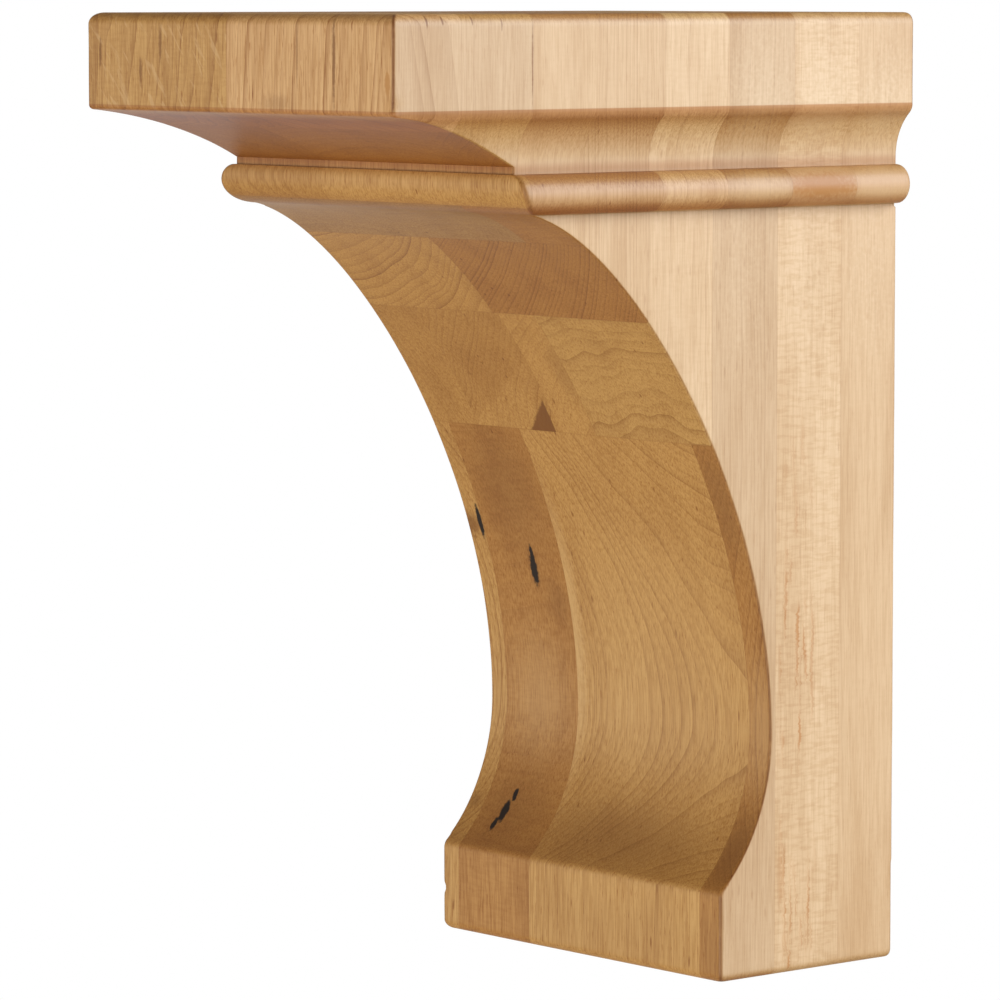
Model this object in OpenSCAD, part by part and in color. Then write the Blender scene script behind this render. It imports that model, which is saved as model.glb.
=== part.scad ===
// Carved wooden corbel bracket: a moulded cap on a body that sweeps back to a foot block.
// Frame: the back lies on the wall plane Y = 0 and the front looks towards -Y.
// The origin is the middle of the back, X runs side to side and Z is up. Millimetres.

/* [Overall] */
// Width of the cap, side to side
cap_w = 127; // [100:0.1:160]
// Depth of the cap, from the wall to its front face
cap_d = 177.8; // [145:0.1:215]
// Height of the corbel, from its underside to its top
corbel_h = 254; // [210:0.1:310]

/* [Cap] */
// Height of the cap's upright face, with its eased top edge
face_h = 24; // [18:0.5:30]
// How far the cap stands out past the sides of the body
overhang = 6.35; // [4:0.05:9]
// Radius of the eased edge round the top
top_ease = 3; // [1:0.5:5]
// Radius that turns the side cove out into the cap's face
side_lip_r = 3.5; // [1:0.5:6]
// Radius of the eased edge under the cap's front face
front_lip_r = 1.3; // [0.5:0.1:3]

/* [Mouldings] */
// Height of the cove, from the quirk up to the cap's face
cove_h = 14.4; // [10:0.1:20]
// How far the front cove runs back from the cap's front face
front_cove_run = 43.8; // [34:0.1:55]
// Hollow of the front cove, measured from its chord
front_cove_sag = 2.2; // [1:0.1:4]
// Height of the quirk, the sunk line between cove and bead
quirk_h = 1.9; // [1:0.1:3]
// Height of the bead that runs round the body
bead_h = 10.4; // [8:0.1:13]
// How far the bead stays in from the side of the cap above it
bead_set_in = 0.4; // [0:0.05:1.5]
// Radius of the fuller bead along the front
nose_r = 7.8; // [6.5:0.1:9.5]
// How far the front bead stands out from the quirk above it
nose_out = 1.2; // [0.5:0.1:2.5]

/* [Sweep] */
// Depth of the body at its waist, the deepest point of the sweep
waist_d = 45; // [36:0.5:55]
// Height of the waist above the underside
waist_h = 63.8; // [50:0.1:78]
// Angle from upright at which the sweep meets the front bead
throat_angle = 80; // [65:1:88]
// Pull of the curve straight up from the waist, as a share of its rise
waist_pull = 0.474; // [0.35:0.001:0.6]
// Pull of the curve back from the bead, as a share of its run
throat_pull = 0.391; // [0.25:0.001:0.5]

/* [Foot block] */
// Depth of the foot block, from the wall to its front face
block_d = 62.6; // [57:0.1:76]
// Height of the foot block's front face
block_h = 24; // [18:0.5:32]
// Radius that rounds the block's front face into the sweep
block_nose_r = 5; // [2:0.5:8]
// Radius of the eased edge round the underside
foot_ease = 2.5; // [1:0.5:4]

/* [Hidden] */

MAPLE = [0.87, 0.70, 0.47];
// Chords in a small eased edge, in a moulding and in the long sweep
EASE_STEPS = 5;
MOULD_STEPS = 12;
SWEEP_STEPS = 36;
// How far each outline is extruded past the other one
PAST = 2;

body_half = cap_w / 2 - overhang;
face_z = corbel_h - face_h;
quirk_top_z = face_z - cove_h;
bead_top_z = quirk_top_z - quirk_h;
bead_foot_z = bead_top_z - bead_h;
quirk_d = cap_d - front_cove_run;

// Side bead: a half round, or a little less where it is sunk into the body
bead_r = bead_h / 2;
bead_c = [cap_w / 2 - bead_set_in - bead_r, bead_foot_z + bead_r];
bead_turn = min(90, acos(max(-1, (body_half - bead_c.x) / bead_r)));

// Front bead: its centre, and the point where the sweep runs into it
nose_c = [quirk_d + nose_out - nose_r, bead_foot_z + nose_r];
throat = nose_c + nose_r * [cos(throat_angle), -sin(throat_angle)];
nose_top_angle = asin((bead_top_z - nose_c.y) / nose_r);

// Lower hollow: an arc that is upright at the waist and meets the block's front face
block_step = block_d - waist_d;
hollow_drop = waist_h - block_h;
hollow_r = (block_step * block_step + hollow_drop * hollow_drop) / (2 * block_step);
hollow_c = [waist_d + hollow_r, waist_h];

// Rounded top of the block's face, tangent to the face and to the lower hollow
block_nose_d = block_d - block_nose_r;
block_nose_c = [
    block_nose_d,
    waist_h - sqrt(pow(hollow_r + block_nose_r, 2) - pow(hollow_c.x - block_nose_d, 2))
];
block_nose_angle = atan2(waist_h - block_nose_c.y, hollow_c.x - block_nose_d);

// Side cove and its lip: two arcs that meet at one slope, together as wide as the overhang
cove_turn = 2 * atan(overhang / cove_h);
side_cove_r = cove_h / sin(cove_turn) - side_lip_r;

// Points on an arc round c, from angle a0 to angle a1
function arc(c, r, a0, a1, steps) =
    [for (i = [0 : steps]) let (a = a0 + (a1 - a0) * i / steps) c + r * [cos(a), sin(a)]];

// Points on the arc from p to q that bulges sag to the left of the chord
function bulge(p, q, sag, steps) =
    let (
        chord = norm(q - p),
        r = (chord * chord / 4 + sag * sag) / (2 * sag),
        along = (q - p) / chord,
        left = [-along.y, along.x],
        c = (p + q) / 2 - (r - sag) * left,
        half_angle = asin(chord / 2 / r),
        mid = atan2(left.y, left.x)
    )
    arc(c, r, mid + half_angle, mid - half_angle, steps);

// Points on a curve that leaves p0 towards p1 and arrives at p3 from p2
function curve(p0, p1, p2, p3, steps) =
    [for (i = [0 : steps]) let (t = i / steps, s = 1 - t)
        s * s * s * p0 + 3 * s * s * t * p1 + 3 * s * t * t * p2 + t * t * t * p3];

// Outline from the side: depth from the wall against height, foot first
function front_outline() = concat(
    [[0, 0]],
    arc([block_d - foot_ease, foot_ease], foot_ease, -90, 0, EASE_STEPS),
    arc(block_nose_c, block_nose_r, 0, block_nose_angle, EASE_STEPS),
    lower_hollow(),
    upper_sweep(),
    arc(nose_c, nose_r, -throat_angle, nose_top_angle, MOULD_STEPS),
    [[quirk_d, bead_top_z]],
    bulge([quirk_d, quirk_top_z], [cap_d - front_lip_r, face_z - front_lip_r],
        front_cove_sag, MOULD_STEPS),
    arc([cap_d - front_lip_r, face_z], front_lip_r, -90, 0, EASE_STEPS),
    arc([cap_d - top_ease, corbel_h - top_ease], top_ease, 0, 90, EASE_STEPS),
    [[0, corbel_h]]
);

function lower_hollow() =
    arc(hollow_c, hollow_r, 180 + block_nose_angle, 180, MOULD_STEPS);

function upper_sweep() =
    let (
        waist = [waist_d, waist_h],
        up = waist_pull * (throat.y - waist.y) * [0, 1],
        back = throat_pull * (throat.x - waist.x) * [sin(throat_angle), cos(throat_angle)]
    )
    curve(waist, waist + up, throat - back, throat, SWEEP_STEPS);

// Half of the outline from the front: distance from the middle against height, foot first
function side_outline() = concat(
    arc([body_half - foot_ease, foot_ease], foot_ease, -90, 0, EASE_STEPS),
    [[body_half, bead_foot_z]],
    arc(bead_c, bead_r, -bead_turn, bead_turn, MOULD_STEPS),
    [[body_half, bead_top_z]],
    arc([body_half + side_cove_r, quirk_top_z], side_cove_r, 180, 180 - cove_turn, MOULD_STEPS),
    arc([cap_w / 2 - side_lip_r, face_z], side_lip_r, -cove_turn, 0, EASE_STEPS),
    arc([cap_w / 2 - top_ease, corbel_h - top_ease], top_ease, 0, 90, EASE_STEPS)
);

// An outline without the points that fall on the one before them
function tidy(pts) = [for (i = [0 : len(pts) - 1])
    if (i == 0 || norm(pts[i] - pts[i - 1]) > 0.001) pts[i]];

// The outline mirrored about the middle, as one closed loop
function both_sides(pts) = concat(
    pts, [for (i = [len(pts) - 1 : -1 : 0]) [-pts[i].x, pts[i].y]]
);

// The long shape of the front: cap, cove, bead, sweep and foot, cut through the whole width
module front_cut() {
    rotate([90, 0, 90])
        linear_extrude(height = cap_w + 2 * PAST, center = true)
            polygon([for (p = tidy(front_outline())) [-p.x, p.y]]);
}

// The mouldings along the sides, cut through the whole depth
module side_cut() {
    translate([0, PAST, 0])
        rotate([90, 0, 0])
            linear_extrude(height = cap_d + 2 * PAST)
                polygon(both_sides(tidy(side_outline())));
}

// One glued blank, carved to both outlines
module corbel() {
    color(MAPLE)
        translate([0, 0, -corbel_h / 2])
            intersection() {
                front_cut();
                side_cut();
            }
}

corbel();
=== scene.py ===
# %% [markdown]
# # A carved wooden corbel, built round its CAD model
#
# The real thing is a shelf bracket glued up from maple boards and then carved: a moulded cap, a
# cove and a bead, a long hollow sweep and a small foot block. The CAD model fixes its size. This
# notebook makes the part people look at: one carved piece and one maple finish.
#
# The first cell loads the CAD model as a fixed frame and notes its box, so that everything after
# it can be placed from measured corners.

# %% Load the frame
import math
from collections import namedtuple
from types import SimpleNamespace

import bmesh
import bpy
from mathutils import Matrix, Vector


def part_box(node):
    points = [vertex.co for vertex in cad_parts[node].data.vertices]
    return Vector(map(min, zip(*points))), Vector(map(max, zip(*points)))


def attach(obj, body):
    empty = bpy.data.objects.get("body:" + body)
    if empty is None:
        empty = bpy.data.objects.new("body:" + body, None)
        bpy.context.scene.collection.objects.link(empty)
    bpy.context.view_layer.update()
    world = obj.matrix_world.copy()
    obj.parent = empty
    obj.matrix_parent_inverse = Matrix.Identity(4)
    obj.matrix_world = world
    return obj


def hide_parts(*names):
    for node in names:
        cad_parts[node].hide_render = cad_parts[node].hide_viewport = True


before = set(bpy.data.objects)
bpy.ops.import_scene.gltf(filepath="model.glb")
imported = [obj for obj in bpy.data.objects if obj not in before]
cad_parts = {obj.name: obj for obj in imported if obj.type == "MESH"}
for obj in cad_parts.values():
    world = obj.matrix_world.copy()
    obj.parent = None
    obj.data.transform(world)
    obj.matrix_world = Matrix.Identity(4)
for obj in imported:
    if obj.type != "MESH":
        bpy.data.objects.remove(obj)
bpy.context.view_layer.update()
low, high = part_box("corbel")
print("CAD box in metres:", [round(v, 4) for v in (*low, *high)])

# %% [markdown]
# ## Sizes of the carving
#
# A joiner would lay the corbel out on paper in millimetres, so the sizes here are in millimetres
# too, with heights counted from the underside. The overall sizes come from the frame. The others
# are the same sizes that the CAD model was drawn with, except that the shoulder of the foot block
# is turned more tightly, as a fresh cut leaves it.

# %% Sizes, in millimetres
MM = 0.001
cap_half = high.x / MM
cap_d = -low.y / MM
corbel_h = (high.z - low.z) / MM
face_h, overhang, top_ease = 24.0, 6.35, 3.0
side_lip_r, front_lip_r = 3.5, 1.3
cove_h, front_cove_run, front_cove_sag, quirk_h = 14.4, 43.8, 2.2, 1.9
bead_h, bead_set_in, nose_r, nose_out = 10.4, 0.4, 7.8, 1.2
waist_d, waist_h, throat_angle, waist_pull, throat_pull = 45.0, 63.8, 80.0, 0.474, 0.391
block_d, block_h, block_nose_r, foot_ease = 62.6, 24.0, 3.0, 2.5

body_half = cap_half - overhang
face_z = corbel_h - face_h
quirk_top_z = face_z - cove_h
bead_top_z = quirk_top_z - quirk_h
bead_foot_z = bead_top_z - bead_h
quirk_d = cap_d - front_cove_run
print("cap face", face_h, "mm high, bead from", round(bead_foot_z, 1), "to", round(bead_top_z, 1))

# %% [markdown]
# ## The two outlines
#
# The corbel is what is left when a block is sawn to one outline seen from the side and another
# seen from the front. Each outline is a list of (reach, height) points, from the underside up.
# Three small helpers draw the arcs, the shallow cove and the long sweep. A flat ledge is tilted by
# a few hundredths of a millimetre, so that every point is a little higher than the last and the
# outline can be read off by height.

# %% Helpers that draw an outline
def arc(centre, radius, start, end, steps):
    """Points on an arc, with angles in degrees counted from straight out."""
    angles = [math.radians(start + (end - start) * i / steps) for i in range(steps + 1)]
    return [(centre[0] + radius * math.cos(a), centre[1] + radius * math.sin(a)) for a in angles]


def cove(start, end, sag, steps):
    """A shallow hollow between two points, sagging to the left of the way it runs."""
    chord = math.dist(start, end)
    radius = (chord * chord / 4 + sag * sag) / (2 * sag)
    along = ((end[0] - start[0]) / chord, (end[1] - start[1]) / chord)
    points = []
    for i in range(steps + 1):
        t = chord * i / steps
        lift = math.sqrt(radius**2 - (t - chord / 2) ** 2) - (radius - sag)
        points.append((start[0] + along[0] * t - along[1] * lift,
                       start[1] + along[1] * t + along[0] * lift))
    return points


def sweep_curve(a, b, c, d, steps):
    """A smooth curve from a to d that leaves towards b and arrives from c."""
    points = []
    for i in range(steps + 1):
        t = i / steps
        w = ((1 - t) ** 3, 3 * t * (1 - t) ** 2, 3 * t * t * (1 - t), t**3)
        points.append(tuple(w[0] * a[k] + w[1] * b[k] + w[2] * c[k] + w[3] * d[k] for k in (0, 1)))
    return points


def rising(points, ledge=0.03):
    """The same points with every height at least a ledge's tilt above the last."""
    kept = [points[0]]
    for reach, height in points[1:]:
        if math.dist(kept[-1], (reach, height)) > 0.001:
            kept.append((reach, max(height, kept[-1][1] + ledge)))
    return kept


# %% The outline seen from the side: how far the front reaches at each height
ease_steps, hollow_steps, sweep_steps, nose_steps = 8, 30, 110, 26
cove_steps, lip_steps, top_steps = 40, 6, 10

throat = math.radians(throat_angle)
nose_c = (quirk_d + nose_out - nose_r, bead_foot_z + nose_r)
nose_top = math.degrees(math.asin((bead_top_z - nose_c[1]) / nose_r))
throat_at = (nose_c[0] + nose_r * math.cos(throat), nose_c[1] - nose_r * math.sin(throat))

step, drop = block_d - waist_d, waist_h - block_h
hollow_r = (step**2 + drop**2) / (2 * step)
hollow_c = (waist_d + hollow_r, waist_h)
block_nose_d = block_d - block_nose_r
block_nose_z = waist_h - math.sqrt((hollow_r + block_nose_r) ** 2 - (hollow_c[0] - block_nose_d) ** 2)
block_turn = math.degrees(math.atan2(waist_h - block_nose_z, hollow_c[0] - block_nose_d))

run, rise = throat_at[0] - waist_d, throat_at[1] - waist_h
leave = (waist_d, waist_h + waist_pull * rise)
arrive = (throat_at[0] - throat_pull * run * math.sin(throat),
          throat_at[1] - throat_pull * run * math.cos(throat))
front_outline = rising(
    arc((block_d - foot_ease, foot_ease), foot_ease, -90, 0, ease_steps)
    + arc((block_nose_d, block_nose_z), block_nose_r, 0, block_turn, ease_steps)
    + arc(hollow_c, hollow_r, 180 + block_turn, 180, hollow_steps)
    + sweep_curve((waist_d, waist_h), leave, arrive, throat_at, sweep_steps)
    + arc(nose_c, nose_r, -throat_angle, nose_top, nose_steps)
    + [(quirk_d, bead_top_z)]
    + cove((quirk_d, quirk_top_z), (cap_d - front_lip_r, face_z - front_lip_r), front_cove_sag,
           cove_steps)
    + arc((cap_d - front_lip_r, face_z), front_lip_r, -80, 0, lip_steps)
    + arc((cap_d - top_ease, corbel_h - top_ease), top_ease, 0, 90, top_steps)
)
print("front outline:", len(front_outline), "points")

# %% The outline seen from the front: how wide one half is at each height
bead_steps, side_cove_steps = 28, 22
bead_r = bead_h / 2
bead_c = (cap_half - bead_set_in - bead_r, bead_foot_z + bead_r)
bead_turn = min(90, math.degrees(math.acos(max(-1, (body_half - bead_c[0]) / bead_r))))
cove_turn = math.degrees(2 * math.atan(overhang / cove_h))
side_cove_r = cove_h / math.sin(math.radians(cove_turn)) - side_lip_r
side_outline = rising(
    arc((body_half - foot_ease, foot_ease), foot_ease, -90, 0, ease_steps)
    + [(body_half, bead_foot_z)]
    + arc(bead_c, bead_r, -bead_turn, bead_turn, bead_steps)
    + [(body_half, bead_top_z)]
    + arc((body_half + side_cove_r, quirk_top_z), side_cove_r, 180, 180 - cove_turn,
          side_cove_steps)
    + arc((cap_half - side_lip_r, face_z), side_lip_r, -cove_turn, 0, ease_steps)
    + arc((cap_half - top_ease, corbel_h - top_ease), top_ease, 0, 90, top_steps)
)
print("side outline:", len(side_outline), "points")

# %% [markdown]
# ## Stations up the height
#
# At any height the corbel is a rectangle with softly sanded corners. So the shape can be lofted
# like a boat hull: a row of stations up the height, each with its half width, its reach to the
# front, how far its back edge is eased, and the radius of its corners. The stations lie close
# together in the mouldings and further apart where both outlines run straight.

# %% Read both outlines at every station
def read(outline, height):
    """The reach of an outline at a height."""
    for (r0, z0), (r1, z1) in zip(outline, outline[1:]):
        if height <= z1:
            return r0 + (r1 - r0) * max(0.0, height - z0) / (z1 - z0)
    return outline[-1][0]


def corner_radius(height):
    """The sanded radius of the upright arrises, which is larger where a hand rubs."""
    for top, radius in ((26, 1.1), (bead_foot_z - 1, 0.7), (bead_top_z, 1.5), (face_z, 0.9)):
        if height < top:
            return radius
    return 1.0


station_gap, closest, closest_on_ledge, ledge_height = 1.1, 0.11, 0.02, 0.04
levels = sorted([z for _, z in front_outline] + [z for _, z in side_outline])
ledges = [z for line in (front_outline, side_outline)
          for (_, z0), (_, z1) in zip(line, line[1:]) if z1 - z0 < ledge_height for z in (z0, z1)]
heights = [levels[0]]
for level in levels[1:]:
    gap = level - heights[-1]
    if gap < (closest_on_ledge if level in ledges else closest):
        continue
    fill = math.ceil(gap / station_gap)
    heights += [heights[-1] + gap * i / fill for i in range(1, fill + 1)]

back_ease, cap_inset = 0.8, 1.2
stations = []
for height in heights:
    near_end = max(0.0, back_ease - min(height, corbel_h - height))
    back = back_ease - math.sqrt(back_ease**2 - near_end**2)
    stations.append((height, read(side_outline, height), read(front_outline, height), back,
                     corner_radius(height)))
for at, place in ((0, 0), (-1, len(stations) + 1)):
    height, half, depth, back, ease = stations[at]
    stations.insert(place, (height, half - cap_inset, depth - cap_inset, back + cap_inset, ease))
print(len(stations), "stations, the widest", round(2 * max(s[1] for s in stations), 2), "mm")

# %% [markdown]
# ## The plan line
#
# One closed line is stretched over every station. Each of its points says where it sits as a share
# of the width and depth, and which way it is pushed by the corner's radius, so a corner keeps a
# true quarter round at any size. The line starts at the left front corner and runs to the right,
# along the side, across the back and home again.

# %% Points of the plan line: share of width, share of depth, outward direction
def corner(u, v, start, steps=5):
    """A quarter round at one corner, turning left from the start angle in degrees."""
    turn = [math.radians(start + 90 * i / steps) for i in range(steps + 1)]
    return [(u, v, math.cos(a), math.sin(a)) for a in turn]


def shares(count, guard):
    """Shares from 0 to 1 without the ends, with a close pair next to each corner."""
    inner = [i / count for i in range(1, count)]
    return [guard] + inner + [1 - guard]


front_points, side_points, back_points = 46, 50, 16
guard, back_guard, back_steps = 0.006, 0.01, 4
plan = corner(-1, 1, 180)
plan += [(2 * t - 1, 1, 0, -1) for t in shares(front_points, guard)]
plan += corner(1, 1, 270)
plan += [(1, 1 - t, 1, 0) for t in shares(side_points, guard)]
plan += corner(1, 0, 0, back_steps)
plan += [(1 - 2 * t, 0, 0, 1) for t in shares(back_points, back_guard)]
plan += corner(-1, 0, 90, back_steps)
plan += [(-1, t, -1, 0) for t in shares(side_points, guard)]
plan.append(plan[0])
print(len(plan), "points round the plan line")

# %% [markdown]
# ## A small language for node trees
#
# Both the shape and the finish are node trees. `Tree.node` is the only place where a node is made:
# it takes the node's type, its settings and the values or links of its sockets. `Wire` wraps one
# output socket, so that sums can be written as sums: each plus, minus or times sign adds a Math
# node. The reflected forms let a plain number stand on the left, as in `1 - mask`.

# %% Wires and trees
class Wire:
    """One output socket. Arithmetic on it adds Math nodes."""

    def __init__(self, tree, socket):
        self.tree, self.socket = tree, socket

    def out(self, name):
        """Another output of the same node."""
        return Wire(self.tree, self.socket.node.outputs[name])

    def math(self, operation, *values, clamp=False):
        settings = {"operation": operation, "use_clamp": clamp}
        return self.tree.node("ShaderNodeMath", settings, values)

    def __add__(self, other):
        return self.math("ADD", self, other)

    def __sub__(self, other):
        return self.math("SUBTRACT", self, other)

    def __mul__(self, other):
        return self.math("MULTIPLY", self, other)

    def __truediv__(self, other):
        return self.math("DIVIDE", self, other)

    def __pow__(self, other):
        return self.math("POWER", self, other)

    def __rsub__(self, other):
        return self.math("SUBTRACT", other, self)

    def __rtruediv__(self, other):
        return self.math("DIVIDE", other, self)

    __radd__, __rmul__ = __add__, __mul__

    def over(self, limit):
        """1 where the value is above the limit, else 0."""
        return self.math("GREATER_THAN", self, limit)

    def near(self, value, reach):
        """1 within reach of a value, else 0."""
        return self.math("COMPARE", self, value, reach)

    def fade(self, start, end):
        """A smooth step from 0 at start to 1 at end."""
        settings = {"interpolation_type": "SMOOTHSTEP"}
        return self.tree.node("ShaderNodeMapRange", settings, [self, start, end, 0.0, 1.0])

    def clamped(self):
        return self.math("ADD", self, 0.0, clamp=True)


class Tree:
    """Makes nodes in one node tree."""

    def __init__(self, tree):
        self.tree = tree

    def node(self, kind, settings=None, sockets=(), output=0):
        made = self.tree.nodes.new(kind)
        for name, value in (settings or {}).items():
            if name == "stops":
                self.lay_stops(made.color_ramp, value)
            else:
                setattr(made, name, value)
        pairs = sockets.items() if isinstance(sockets, dict) else enumerate(sockets)
        for key, value in pairs:
            if isinstance(value, Wire):
                self.tree.links.new(value.socket, made.inputs[key])
            else:
                made.inputs[key].default_value = value
        return Wire(self, made.outputs[output]) if made.outputs else made

    @staticmethod
    def lay_stops(ramp, stops):
        """Stops as (position, colour); the ramp jumps from one to the next."""
        ramp.interpolation = "CONSTANT"
        while len(ramp.elements) < len(stops):
            ramp.elements.new(1.0)
        for element, (position, colour) in zip(ramp.elements, stops):
            element.position = position
            element.color = (*colour, 1.0)


print("helpers ready")

# %% [markdown]
# ## Hand the stations and the plan line to Blender
#
# Geometry Nodes can read another object's points. So the stations become one loose string of
# points, the plan line becomes another, and each point carries its numbers as attributes.

# %% Strings of points with attributes
def string_of_points(name, points, vectors, floats):
    """Loose points whose attributes carry one vector or one number each."""
    mesh = bpy.data.meshes.new(name)
    mesh.from_pydata(points, [], [])
    for kind, field, table in (("FLOAT_VECTOR", "vector", vectors), ("FLOAT", "value", floats)):
        for label, values in table.items():
            attribute = mesh.attributes.new(label, kind, "POINT")
            for item, value in zip(attribute.data, values):
                setattr(item, field, value)
    made = bpy.data.objects.new(name, mesh)
    bpy.context.scene.collection.objects.link(made)
    return made


station_string = string_of_points(
    "station_string",
    [(0, 0, low.z + s[0] * MM) for s in stations],
    {"section": [(s[1] * MM, s[2] * MM, s[3] * MM) for s in stations]},
    {"corner": [s[4] * MM for s in stations]},
)
plan_string = string_of_points(
    "plan_string",
    [(u, v, 0) for u, v, _, _ in plan],
    {"outward": [(nx, ny, 0) for _, _, nx, ny in plan]},
    {},
)
print("strings:", len(station_string.data.vertices), "and", len(plan_string.data.vertices))

# %% [markdown]
# ## The loft
#
# The tree makes a flat grid with one row for each station and one column for each plan point, and
# then moves every grid point to its place. Two noises make it look handled: one lets the faces
# wander by about a tenth of a millimetre, as a belt sander leaves them, and the other varies the
# radius of the arrises. The seam is welded, and each point keeps a mark that says how far it is
# round a corner, which the finish uses to darken the arrises.

# %% Helpers inside the loft tree
def read_string(t, string, place, label=None, kind="FLOAT_VECTOR"):
    """What a string's point carries under a label, or its position without one."""
    if label:
        field = t.node("GeometryNodeInputNamedAttribute", {"data_type": kind}, {"Name": label})
    else:
        field = t.node("GeometryNodeInputPosition")
    return t.node("GeometryNodeSampleIndex", {"data_type": kind},
                  {"Geometry": string, "Value": field, "Index": place + 0.25})


def split(t, vector):
    """The three parts of a vector."""
    parts = t.node("ShaderNodeSeparateXYZ", None, [vector])
    return [parts.out(axis) for axis in "XYZ"]


def seeded_noise(t, vector, seed, scale, detail):
    """Noise on both sides of zero, which the seed moves aside."""
    offset = t.node("ShaderNodeVectorMath", {"operation": "ADD"}, [vector, seed])
    return t.node("ShaderNodeTexNoise", {"noise_dimensions": "3D"},
                  {"Vector": offset, "Scale": scale, "Detail": detail}) - 0.5


print("loft helpers ready")

# %% The lofted and sanded grid
RUB_SCALE = 40.0


def lofted_grid(t, given):
    """A grid with a row for each station, moved to its place, with its arrises marked."""
    strings, counts = {}, {}
    for name in ("Stations", "Plan line"):
        info = t.node("GeometryNodeObjectInfo", None, {"Object": given.out(name)})
        strings[name] = info.out("Geometry")
        size = t.node("GeometryNodeAttributeDomainSize", None, [strings[name]])
        counts[name] = size.out("Point Count")
    grid = t.node("GeometryNodeMeshGrid", None, {
        "Size X": 1.0, "Size Y": 1.0,
        "Vertices X": counts["Stations"], "Vertices Y": counts["Plan line"]})
    index = t.node("GeometryNodeInputIndex")
    row = t.node("ShaderNodeMath", {"operation": "FLOOR"}, [(index + 0.5) / counts["Plan line"]])
    column = index - row * counts["Plan line"]

    half, depth, back = split(t, read_string(t, strings["Stations"], row, "section"))
    height = split(t, read_string(t, strings["Stations"], row))[2]
    radius = read_string(t, strings["Stations"], row, "corner", "FLOAT")
    u, v, _ = split(t, read_string(t, strings["Plan line"], column))
    push_x, push_y, _ = split(t, read_string(t, strings["Plan line"], column, "outward"))

    rough_place = t.node("ShaderNodeCombineXYZ", None, [u * half, v * depth, height])
    rub = seeded_noise(t, rough_place, given.out("Seed"), RUB_SCALE, 2.0)
    radius = radius * (1 + rub * given.out("Arris variation"))
    x = u * (half - radius) + push_x * radius
    y = push_y * radius - (back + radius) - v * (depth - back - 2 * radius)
    place = t.node("ShaderNodeCombineXYZ", None, [x, y, height])
    wander = seeded_noise(t, place, given.out("Seed"), given.out("Sanding scale"), 1.0)
    off_the_wall = 1 - push_y.over(0.5)
    wander = wander * given.out("Sanding depth") * off_the_wall
    sanded = t.node("ShaderNodeCombineXYZ", None,
                    [x + push_x * wander, y + push_y * wander, height])
    shape = t.node("GeometryNodeSetPosition", None, {"Geometry": grid, "Position": sanded})
    arris = push_x * push_x * push_y * push_y * 4
    return t.node("GeometryNodeStoreNamedAttribute", {"data_type": "FLOAT", "domain": "POINT"},
                  {"Geometry": shape, "Name": "arris", "Value": arris})


print("arrises are rubbed by noise of scale", RUB_SCALE)

# %% The whole loft tree, with its named inputs
LOFT_INPUTS = (("Stations", "NodeSocketObject"), ("Plan line", "NodeSocketObject"),
               ("Sanding depth", "NodeSocketFloat"), ("Sanding scale", "NodeSocketFloat"),
               ("Arris variation", "NodeSocketFloat"), ("Seed", "NodeSocketFloat"),
               ("Finish", "NodeSocketMaterial"))
WELD = 2e-6


def loft_tree():
    """The grid, welded at its seam and given its finish."""
    group = bpy.data.node_groups.new("corbel_loft", "GeometryNodeTree")
    for way in ("INPUT", "OUTPUT"):
        group.interface.new_socket("Geometry", in_out=way, socket_type="NodeSocketGeometry")
    for name, kind in LOFT_INPUTS:
        group.interface.new_socket(name, in_out="INPUT", socket_type=kind)
    t = Tree(group)
    given = t.node("NodeGroupInput")
    shape = lofted_grid(t, given)
    shape = t.node("GeometryNodeMergeByDistance", None, {"Geometry": shape, "Distance": WELD})
    shape = t.node("GeometryNodeSetShadeSmooth", None, {"Geometry": shape})
    shape = t.node("GeometryNodeRealizeInstances", None, [shape])
    shape = t.node("GeometryNodeSetMaterial", None,
                   {"Geometry": shape, "Material": given.out("Finish")})
    t.node("NodeGroupOutput", None, [shape])
    return group


loft = loft_tree()
print("loft tree:", len(loft.nodes), "nodes")

# %% Run the loft and turn it into a plain mesh
def run_tree(name, group, values):
    """A plain mesh object, made by a node tree from named inputs."""
    host = bpy.data.objects.new(name, bpy.data.meshes.new(name + "_host"))
    bpy.context.scene.collection.objects.link(host)
    modifier = host.modifiers.new("loft", "NODES")
    modifier.node_group = group
    ids = {s.name: s.identifier for s in group.interface.items_tree if s.in_out == "INPUT"}
    for label, value in values.items():
        modifier[ids[label]] = value
    bpy.context.view_layer.update()
    seen = host.evaluated_get(bpy.context.evaluated_depsgraph_get())
    mesh = bpy.data.meshes.new_from_object(seen)
    host.modifiers.clear()
    host.data = mesh
    return host


maple = bpy.data.materials.new("glued_maple")
corbel = run_tree("carved_corbel", loft, {
    "Stations": station_string, "Plan line": plan_string, "Sanding depth": 0.00022,
    "Sanding scale": 26.0, "Arris variation": 0.8, "Seed": 4.0, "Finish": maple})
for helper in (station_string, plan_string):
    bpy.data.objects.remove(helper)
print("lofted", len(corbel.data.vertices), "points and", len(corbel.data.polygons), "faces")

# %% [markdown]
# ## Close the ends and press in two small knocks
#
# The loft is a tube, open at the underside and the top. Two flat faces close it, and the faces are
# then turned to point outwards. The foot block has a small dent in its left front arris and the cap
# has one at its near lower corner, where the corbel was once knocked, so the points round each are
# pressed in by about half a millimetre. The end faces are shaded flat, because one large smooth
# face would carry the shading of its rim right across. Edges where the carving really turns are
# marked sharp, so that the quirk and the ledges stay crisp.

# %% Cap the ends, dent the arris, mark the sharp edges
def as_vector(parts):
    return type(low)(parts)


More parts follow.
